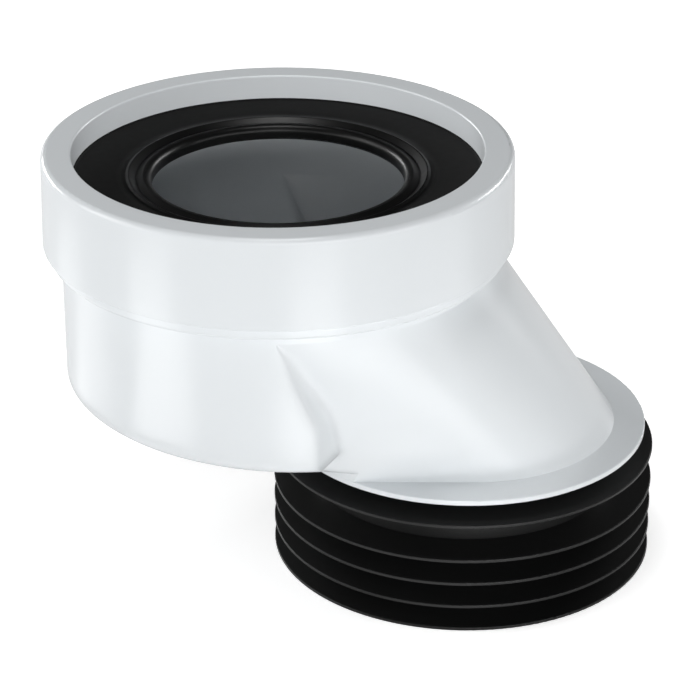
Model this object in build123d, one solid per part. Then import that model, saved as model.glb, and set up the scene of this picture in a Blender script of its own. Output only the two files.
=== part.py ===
from build123d import *
import os
from math import cos, hypot, radians, sin, sqrt, tan

# Offset pan connector, in millimetres. The origin is on the outlet axis, in the plane that the
# connector stands on. +Z is up and +X runs from the socket axis to the outlet axis.

# Driving dimensions: moulded body
axis_offset = 52.8
wall = 3.0
bore_r = 38.8
flange_r = 52.5
flange_t = 1.6
flange_round = 0.3
duct_rise = 51.2
duct_shift = 1.8
duct_fan = 30.0
duct_floor_rise = 4.5
duct_floor_slope = 6.6
cup_r = 61.1
cup_skirt = 2.7
floor_rise = 12.0
floor_slope = 2.8
floor_round = 3.4
web_reach = 11.5
web_rise = 25.2
web_lean = 20.9
web_turn = 24.0
web_round = 12.0
ring_step = 3.4
ring_t = 3.3
ring_round = 0.8
socket_wall = 3.9
bead_h = 0.5
bead_rise = 6.0

# Driving dimensions: retaining cap
cap_h = 25.8
cap_skirt_t = 4.1
cap_draft = 0.5
cap_wall = 3.0
cap_round = 1.7
mouth_inset = 0.8
mouth_depth = 7.1
mouth_round = 0.5
edge_round = 0.3

# Driving dimensions: inlet seal
seal_rim_t = 3.0
seal_flat_t = 2.2
seal_bead_h = 0.8
seal_hole_r = 35.2
flat_drop = 0.35
lip_drop = 0.45
lip_depth = 4.7
lip_w = 2.4
lip_roll = 2.2
ridge_inset = 6.4
ridge_h = 0.45
groove_depth = 1.3

# Driving dimensions: finned outlet seal
sleeve_t = 2.8
fin_depth = 10.3
fin_tip_t = 0.9
fin_root_t = 2.8
fin_fall = 1.0
fin_pitch = 7.2
fin_count = 4
top_fin_gap = 10.8
neck = 4.9
end_lip_t = 2.0
tip_round = 0.25

# Clearance between round faces of different pieces
fit_gap = 0.1

# Heights, from the standing plane up
lower_fins = [fin_tip_t + i * fin_pitch for i in range(fin_count)]
fin_tops = lower_fins + [lower_fins[-1] + top_fin_gap]
flange_z = fin_tops[-1] + neck
flange_top = flange_z + flange_t
floor_z = flange_top + floor_rise
duct_top = flange_top + duct_rise
ring_z = duct_top + cup_skirt
cap_z = ring_z + ring_t
bead_z = cap_z + bead_rise
rim_z = cap_z + cap_h
seal_top = rim_z - mouth_depth
seal_z = seal_top - seal_rim_t

# Radii that follow from the driving dimensions
spigot_r = bore_r + wall
cup_in_r = cup_r - wall
ring_r = cup_r + ring_step
socket_r = cup_in_r + socket_wall
cap_in_r = socket_r + fit_gap
cap_r = cap_in_r + cap_skirt_t
mouth_r = cup_in_r - mouth_inset
cap_lip_r = mouth_r + cap_wall
ridge_r = seal_hole_r + ridge_inset
sleeve_in_r = spigot_r + fit_gap
sleeve_r = sleeve_in_r + sleeve_t
fin_r = sleeve_r + fin_depth

socket_axis = Pos(-axis_offset, 0, 0)
BIG = 4 * cap_r


def turned(points):
    """Solid of revolution about Z. Each point is a radius, a height and a corner rounding."""
    corners = [(radius, height) for radius, height, _ in points]
    roundings = [rounding for _, _, rounding in points]
    section = make_face(FilletPolyline(*corners, radius=roundings, close=True))
    return revolve(Plane.XZ * section, Axis.Z)


def disc(radius, low, high):
    """Upright cylinder about Z between two heights."""
    return Pos(0, 0, low) * extrude(Circle(radius), high - low)


def below(place, slope):
    """Half space under a plane through a place, which falls towards +X by a slope in degrees."""
    return Pos(*place) * Rot(0, slope, 0) * Pos(0, 0, -BIG / 2) * Box(BIG, BIG, BIG)


def cup_floor(lift):
    """Half space under the cup's floor, raised by a lift."""
    return below((-axis_offset, 0, floor_z + lift), floor_slope)


def duct_floor(lift, end_r):
    """Space under the duct's floor, outside its round foot on the flange."""
    start = (-flange_r, 0, flange_top + duct_floor_rise + lift)
    return below(start, duct_floor_slope) - disc(end_r, 0, duct_top)


def web_side(inset):
    """Room behind the cup's two end walls: upright, leaning back above, turned away in plan."""
    turn = radians(web_turn)
    reach = web_reach - inset / cos(turn)
    low = flange_z
    lean_z = flange_top + web_rise
    top_reach = reach - (ring_z - lean_z) * tan(radians(web_lean))
    corners = [(-BIG, low), (reach, low), (reach, lean_z), (top_reach, ring_z), (-BIG, ring_z)]
    outline = FilletPolyline(*corners, radius=[0, 0, web_round, 0, 0], close=True)
    crease_y = sqrt(cup_r**2 - web_reach**2)
    face = Pos(-crease_y * tan(turn), -2 * crease_y, 0) * (Plane.XZ * make_face(outline))
    front = extrude(face, 2 * crease_y / cos(turn), dir=(sin(turn), cos(turn), 0))
    return socket_axis * (front + mirror(front, about=Plane.XZ))


def duct(top_r, foot_r):
    """Ruled duct from the cup's circle down to a slot that spans the socket and outlet axes."""
    side_x = -top_r * sin(radians(duct_fan))
    side_y = top_r * cos(radians(duct_fan))
    half = radians(duct_fan / 2)
    mid_x = -top_r * sin(half)
    mid_y = top_r * cos(half)
    circle = ThreePointArc((0, -top_r), (top_r, 0), (0, top_r))
    circle += ThreePointArc((0, top_r), (mid_x, mid_y), (side_x, side_y))
    circle += ThreePointArc((side_x, side_y), (-top_r, 0), (side_x, -side_y))
    circle += ThreePointArc((side_x, -side_y), (mid_x, -mid_y), (0, -top_r))
    left = -axis_offset
    right = duct_shift
    slot = ThreePointArc((right, -foot_r), (right + foot_r, 0), (right, foot_r))
    slot += Line((right, foot_r), (left, foot_r))
    slot += ThreePointArc((left, foot_r), (left - foot_r, 0), (left, -foot_r))
    slot += Line((left, -foot_r), (right, -foot_r))
    top = Pos(-axis_offset, 0, duct_top) * make_face(circle)
    foot = Pos(0, 0, flange_top) * make_face(slot)
    front = loft([foot.face(), top.face()], ruled=True) & Pos(0, -BIG / 2, 0) * Box(BIG, BIG, BIG)
    return front + mirror(front, about=Plane.XZ)


def round_floor(trunk):
    """Rounds the duct's lower edge where it overhangs the flange."""
    floor = trunk.faces().filter_by(GeomType.PLANE).sort_by(Axis.Z)[1]
    middles = [(edge, edge @ 0.5) for edge in floor.edges()]
    overhang = [edge for edge, middle in middles if hypot(middle.X, middle.Y) > flange_r + floor_round]
    return fillet(overhang, floor_round)


def make_body():
    """White moulding: cup, floor, end walls, duct, flange and spigot, hollow throughout."""
    cup = socket_axis * disc(cup_r, flange_z, ring_z) - cup_floor(0)
    floor_edge = cup.edges().filter_by(GeomType.LINE, reverse=True).sort_by(Axis.Z)[0]
    cup = fillet(floor_edge, floor_round) & web_side(0)
    top = socket_axis * turned([
        (0, duct_top, 0),
        (cup_r, duct_top, 0),
        (cup_r, ring_z, 0),
        (ring_r, ring_z, ring_round),
        (ring_r, cap_z, 0),
        (socket_r, cap_z, 0),
        (socket_r, bead_z - bead_h, 0),
        (socket_r + bead_h, bead_z, 0),
        (socket_r, bead_z + 2 * bead_h, 0),
        (socket_r, seal_z, 0),
        (0, seal_z, 0),
    ])
    flange = turned([
        (0, flange_z, 0),
        (flange_r, flange_z, flange_round),
        (flange_r, flange_top, flange_round),
        (0, flange_top, 0),
    ])
    spigot = disc(spigot_r, end_lip_t, flange_z)
    trunk = round_floor(duct(cup_r, spigot_r) - duct_floor(0, flange_r))
    outside = top + cup + trunk + flange + spigot

    chamber = socket_axis * disc(cup_in_r, flange_z, ring_z) - cup_floor(wall)
    chamber = chamber & web_side(wall)
    mouth = socket_axis * disc(cup_in_r, duct_top, seal_z)
    waterway = duct(cup_in_r, bore_r) - duct_floor(wall, flange_r - wall)
    bore = disc(bore_r, end_lip_t, flange_top)
    return outside - mouth - chamber - waterway - bore


def make_cap():
    """White ring that snaps over the body's rim and holds the inlet seal down."""
    return socket_axis * turned([
        (mouth_r, seal_top, 0),
        (mouth_r, rim_z, mouth_round),
        (cap_r - cap_draft, rim_z, cap_round),
        (cap_r, cap_z, edge_round),
        (cap_in_r, cap_z, 0),
        (cap_in_r, bead_z - bead_h, 0),
        (cap_in_r + bead_h, bead_z, 0),
        (cap_in_r, bead_z + 2 * bead_h, 0),
        (cap_in_r, rim_z - cap_wall, 0),
        (cap_lip_r, rim_z - cap_wall, 0),
        (cap_lip_r, seal_top, edge_round),
    ])


def make_inlet_seal():
    """Black rubber diaphragm: gripped rim with a bead, flat web, ridge, groove and rolled lip."""
    bead_r = cap_lip_r + fit_gap
    bead_top = seal_top + seal_bead_h
    step_r = mouth_r - flat_drop
    web_top = seal_top - flat_drop
    web_foot = seal_top - seal_flat_t
    lip_z = seal_top - lip_drop
    lip_foot = seal_top - lip_depth
    lip_r = seal_hole_r + lip_w
    foot_round = lip_w / 3
    groove_r = (ridge_r + lip_r) / 2
    return socket_axis * turned([
        (cup_in_r, seal_z, 0),
        (socket_r, seal_z, 0),
        (socket_r, bead_top, edge_round),
        (bead_r, bead_top, edge_round),
        (bead_r, seal_top, 0),
        (step_r, seal_top, 0),
        (step_r - flat_drop, web_top, 0),
        (ridge_r + 2 * ridge_h, web_top, ridge_h),
        (ridge_r, web_top + ridge_h, ridge_h),
        (groove_r, seal_top - groove_depth, ridge_h),
        (lip_r, lip_z, edge_round),
        (seal_hole_r, lip_z, lip_roll - edge_round),
        (seal_hole_r, lip_foot, foot_round),
        (lip_r, lip_foot, foot_round),
        (groove_r + ridge_h, web_foot - ridge_h, ridge_h),
        (cup_in_r, web_foot, 0),
    ])


def make_outlet_seal():
    """Black rubber sleeve over the spigot, with thin fins that grip the soil pipe."""
    points = [
        (bore_r, end_lip_t, 0),
        (bore_r, 0, 0),
        (fin_r, 0, tip_round),
    ]
    for top in fin_tops:
        if top > fin_tip_t:
            points.append((sleeve_r, top + fin_fall - fin_root_t, 0))
            points.append((fin_r, top - fin_tip_t, tip_round))
        points.append((fin_r, top, tip_round))
        points.append((sleeve_r, top + fin_fall, 0))
    points += [
        (sleeve_r, flange_z, 0),
        (sleeve_in_r, flange_z, 0),
        (sleeve_in_r, end_lip_t, 0),
    ]
    return turned(points)


os.makedirs("parts", exist_ok=True)
pieces = {
    "connector_body": make_body(),
    "retaining_cap": make_cap(),
    "inlet_seal": make_inlet_seal(),
    "outlet_fin_seal": make_outlet_seal(),
}
for name, piece in pieces.items():
    export_step(piece, f"parts/{name}.step")
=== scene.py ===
"""Looks of an offset toilet pan connector: glossy white mouldings and satin black rubber seals."""
import math
import bpy
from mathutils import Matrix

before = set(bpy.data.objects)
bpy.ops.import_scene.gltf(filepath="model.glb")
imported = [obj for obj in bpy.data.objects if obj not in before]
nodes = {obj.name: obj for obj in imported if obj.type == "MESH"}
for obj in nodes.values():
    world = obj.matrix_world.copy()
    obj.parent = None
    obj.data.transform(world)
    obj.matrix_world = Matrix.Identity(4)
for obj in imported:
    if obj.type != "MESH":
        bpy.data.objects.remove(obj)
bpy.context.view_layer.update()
scene = bpy.context.scene
scene.view_settings.view_transform = "Standard"

# Camera, in metres and degrees. The photograph is square.
CAMERA_PLACE = (-0.0268, -0.7044, 0.3986)
CAMERA_PITCH = 64.34
CAMERA_TURN = 0.49
LENS_MM = 140.0
SENSOR_MM = 36.0

# Colours, linear
WHITE_PLASTIC = (0.735, 0.765, 0.785)
FIN_RUBBER = (0.008, 0.0082, 0.0082)
SEAL_RUBBER = (0.002, 0.0021, 0.0021)
WHITE = (1, 1, 1, 1)

# Grain of the surfaces, its depth in metres
GRAIN_DETAIL = 4.0
GRAIN_DEPTH = 0.0002

# Radius about the socket axis beyond which the seal is duller, and the blend there, in metres
SEAL_LIP_RADIUS = 0.0425
SEAL_BLEND = 0.003

# Heights between which the body's creases look soft, and their radius, in metres
CREASE_HEIGHTS = (0.0475, 0.086)
CREASE_RADIUS = 0.006
CREASE_SAMPLES = 8

# Sky and floor. The camera sees a paler floor than the one that throws light back.
SKY = 0.02
FLOOR_BOUNCE = 0.3
FLOOR_WHITE = 0.9
FLOOR_GLOW = 0.53
FLOOR_SIZE = 12.0

# Lamps, in metres. Azimuths are in degrees from the camera's side, positive to the right.
SOCKET_AXIS = (-0.0528, 0.0)
WALL_RADIUS = 0.063
AIM_HEIGHT = 0.12
LAMP_DISTANCE = 1.5
LAMP_LIFT = 0.001
STRIP_START = 0.1
STRIP_LENGTH = 0.18


def ramp(tree, value, span, levels):
    """Adds a smooth step that takes a value's span to two levels, and gives its output."""
    step = tree.nodes.new("ShaderNodeMapRange")
    step.interpolation_type = "SMOOTHSTEP"
    step.inputs["From Min"].default_value = span[0]
    step.inputs["From Max"].default_value = span[1]
    step.inputs["To Min"].default_value = levels[0]
    step.inputs["To Max"].default_value = levels[1]
    tree.links.new(value, step.inputs["Value"])
    return step.outputs["Result"]


def combine(tree, operation, first, second):
    """Adds a math node on two outputs, and gives its output."""
    node = tree.nodes.new("ShaderNodeMath")
    node.operation = operation
    tree.links.new(first, node.inputs[0])
    tree.links.new(second, node.inputs[1])
    return node.outputs["Value"]


def surface(name, colour, roughness, spread, grain, bump, specular):
    """Principled material whose roughness wanders a little and whose surface has a fine grain."""
    material = bpy.data.materials.new(name)
    material.use_nodes = True
    tree = material.node_tree
    shader = tree.nodes["Principled BSDF"]
    shader.inputs["Base Color"].default_value = (*colour, 1)
    shader.inputs["Specular IOR Level"].default_value = specular
    place = tree.nodes.new("ShaderNodeTexCoord")
    noise = tree.nodes.new("ShaderNodeTexNoise")
    noise.inputs["Scale"].default_value = grain
    noise.inputs["Detail"].default_value = GRAIN_DETAIL
    tree.links.new(place.outputs["Object"], noise.inputs["Vector"])
    span = tree.nodes.new("ShaderNodeMapRange")
    span.inputs["To Min"].default_value = roughness - spread
    span.inputs["To Max"].default_value = roughness + spread
    tree.links.new(noise.outputs["Fac"], span.inputs["Value"])
    tree.links.new(span.outputs["Result"], shader.inputs["Roughness"])
    relief = tree.nodes.new("ShaderNodeBump")
    relief.inputs["Strength"].default_value = bump
    relief.inputs["Distance"].default_value = GRAIN_DEPTH
    tree.links.new(noise.outputs["Fac"], relief.inputs["Height"])
    tree.links.new(relief.outputs["Normal"], shader.inputs["Normal"])
    return material


def duller_rim(material, extra):
    """Adds roughness to the seal's material beyond its lip."""
    tree = material.node_tree
    shader = tree.nodes["Principled BSDF"]
    inside = shader.inputs["Roughness"].links[0].from_socket
    place = tree.nodes.new("ShaderNodeNewGeometry")
    offset = tree.nodes.new("ShaderNodeVectorMath")
    offset.operation = "SUBTRACT"
    offset.inputs[1].default_value = (*SOCKET_AXIS, 0)
    tree.links.new(place.outputs["Position"], offset.inputs[0])
    flat = tree.nodes.new("ShaderNodeVectorMath")
    flat.operation = "MULTIPLY"
    flat.inputs[1].default_value = (1, 1, 0)
    tree.links.new(offset.outputs["Vector"], flat.inputs[0])
    radius = tree.nodes.new("ShaderNodeVectorMath")
    radius.operation = "LENGTH"
    tree.links.new(flat.outputs["Vector"], radius.inputs[0])
    blend = (SEAL_LIP_RADIUS, SEAL_LIP_RADIUS + SEAL_BLEND)
    more = ramp(tree, radius.outputs["Value"], blend, (0.0, extra))
    tree.links.new(combine(tree, "ADD", inside, more), shader.inputs["Roughness"])


def soft_creases(material):
    """Rounds the shading of a material's edges between two heights."""
    tree = material.node_tree
    low, high = CREASE_HEIGHTS
    place = tree.nodes.new("ShaderNodeNewGeometry")
    split = tree.nodes.new("ShaderNodeSeparateXYZ")
    tree.links.new(place.outputs["Position"], split.inputs["Vector"])
    above = ramp(tree, split.outputs["Z"], (low - CREASE_RADIUS, low), (0.0, CREASE_RADIUS))
    under = ramp(tree, split.outputs["Z"], (high, high + CREASE_RADIUS), (1.0, 0.0))
    soft = tree.nodes.new("ShaderNodeBevel")
    soft.samples = CREASE_SAMPLES
    tree.links.new(combine(tree, "MULTIPLY", above, under), soft.inputs["Radius"])
    relief = next(node for node in tree.nodes if node.bl_idname == "ShaderNodeBump")
    tree.links.new(soft.outputs["Normal"], relief.inputs["Normal"])


def dress(name, material):
    """Gives a frame node its material."""
    piece = nodes[name]
    piece.data.materials.clear()
    piece.data.materials.append(material)


def add_camera():
    """Camera at the photograph's angle."""
    data = bpy.data.cameras.new("camera")
    data.lens = LENS_MM
    data.sensor_width = SENSOR_MM
    camera = bpy.data.objects.new("camera", data)
    camera.location = CAMERA_PLACE
    camera.rotation_euler = (math.radians(CAMERA_PITCH), 0, math.radians(CAMERA_TURN))
    scene.collection.objects.link(camera)
    scene.camera = camera


def add_world():
    """Dim even sky: the lamps do the rest."""
    world = bpy.data.worlds.new("studio")
    scene.world = world
    world.use_nodes = True
    sky = world.node_tree.nodes["Background"]
    sky.inputs["Color"].default_value = WHITE
    sky.inputs["Strength"].default_value = SKY


def add_floor():
    """White floor that keeps the object's shadow."""
    half = FLOOR_SIZE / 2
    mesh = bpy.data.meshes.new("floor")
    corners = [(-half, -half, 0), (half, -half, 0), (half, half, 0), (-half, half, 0)]
    mesh.from_pydata(corners, [], [(0, 1, 2, 3)])
    floor = bpy.data.objects.new("floor", mesh)
    scene.collection.objects.link(floor)
    material = bpy.data.materials.new("floor_white")
    material.use_nodes = True
    tree = material.node_tree
    shader = tree.nodes["Principled BSDF"]
    shader.inputs["Roughness"].default_value = 1.0
    shader.inputs["Specular IOR Level"].default_value = 0.0
    shader.inputs["Emission Color"].default_value = WHITE
    path = tree.nodes.new("ShaderNodeLightPath")
    seen = path.outputs["Is Camera Ray"]
    colour = ramp(tree, seen, (0.0, 1.0), (FLOOR_BOUNCE, FLOOR_WHITE))
    tree.links.new(colour, shader.inputs["Base Color"])
    for ray in ("Is Glossy Ray", "Is Transmission Ray"):
        seen = combine(tree, "MAXIMUM", seen, path.outputs[ray])
    glow = ramp(tree, seen, (0.0, 1.0), (0.0, FLOOR_GLOW))
    tree.links.new(glow, shader.inputs["Emission Strength"])
    mesh.materials.append(material)


def add_area(name, place, turn, size, level):
    """Rectangular lamp of a given radiance, which the camera doesn't see."""
    data = bpy.data.lights.new(name, "AREA")
    data.shape = "RECTANGLE"
    data.size, data.size_y = size
    data.energy = level * math.pi * size[0] * size[1]
    lamp = bpy.data.objects.new(name, data)
    lamp.location = place
    lamp.rotation_euler = turn
    lamp.visible_camera = False
    scene.collection.objects.link(lamp)


def add_panel(name, azimuth, elevation, size, level):
    """Soft box that looks at the socket from an azimuth and an elevation."""
    turn = math.radians(azimuth)
    rise = math.radians(elevation)
    reach = LAMP_DISTANCE * math.cos(rise)
    x = SOCKET_AXIS[0] + reach * math.sin(turn)
    y = SOCKET_AXIS[1] - reach * math.cos(turn)
    z = AIM_HEIGHT + LAMP_DISTANCE * math.sin(rise)
    add_area(name, (x, y, z), (math.pi / 2 - rise, 0, turn), size, level)


def add_lamp(name, place, size, turn, level):
    """Flat lamp that lies on the floor and faces up."""
    add_area(name, (*place, LAMP_LIFT), (math.pi, 0, math.radians(turn)), size, level)


def add_strip(name, facing, width, level):
    """Light strip on the floor that a wall facing an azimuth mirrors to the camera."""
    wall = math.radians(facing)
    way = math.radians(2 * facing)
    reach = STRIP_START + STRIP_LENGTH / 2
    x = SOCKET_AXIS[0] + WALL_RADIUS * math.sin(wall) + reach * math.sin(way)
    y = SOCKET_AXIS[1] - WALL_RADIUS * math.cos(wall) - reach * math.cos(way)
    add_lamp(name, (x, y), (width, STRIP_LENGTH), 2 * facing, level)


plastic = surface(
    "white_plastic", WHITE_PLASTIC, roughness=0.23, spread=0.02, grain=40.0, bump=0.0, specular=0.5
)
rubber = surface(
    "black_rubber", FIN_RUBBER, roughness=0.42, spread=0.05, grain=400.0, bump=0.02, specular=0.3
)
seal_rubber = surface(
    "black_rubber_seal", SEAL_RUBBER, roughness=0.36, spread=0.04, grain=400.0, bump=0.02, specular=0.25
)
duller_rim(seal_rubber, extra=0.5)
soft_creases(plastic)
dress("connector_body", plastic)
dress("retaining_cap", plastic)
dress("inlet_seal", seal_rubber)
dress("outlet_fin_seal", rubber)

add_camera()
add_world()
add_floor()

# Soft boxes round the object
add_panel("front_low", azimuth=15, elevation=9, size=(1.5, 0.2), level=10.0)
add_panel("front_left", azimuth=-30, elevation=14, size=(0.75, 0.28), level=2.5)
add_panel("front_tall", azimuth=0, elevation=33, size=(0.35, 1.0), level=1.4)
add_panel("left", azimuth=-75, elevation=12, size=(1.5, 0.28), level=5.3)
add_panel("left_high", azimuth=-90, elevation=28, size=(0.75, 0.4), level=4.5)
add_panel("left_back", azimuth=-135, elevation=11, size=(0.75, 0.28), level=13.0)
add_panel("right", azimuth=60, elevation=10, size=(0.75, 0.28), level=5.5)
add_panel("right_back", azimuth=130, elevation=12, size=(0.75, 0.28), level=10.0)
add_panel("top", azimuth=0, elevation=88, size=(0.5, 0.5), level=9.0)

# Lamps on the floor that light the undersides
add_lamp("apron", place=(-0.02, -0.075), size=(0.12, 0.03), turn=0, level=0.8)
add_lamp("apron_left", place=(-0.106, -0.053), size=(0.1, 0.03), turn=-45, level=0.7)
add_lamp("apron_right", place=(0.05, -0.15), size=(0.16, 0.08), turn=0, level=1.8)

# Strips that the collar and the cup mirror as upright streaks
add_strip("strip_edge", facing=-59, width=0.1, level=1.0)
add_strip("strip_left", facing=-31, width=0.1, level=3.2)
add_strip("strip_middle", facing=10, width=0.11, level=3.2)
add_strip("strip_right", facing=45, width=0.16, level=0.8)
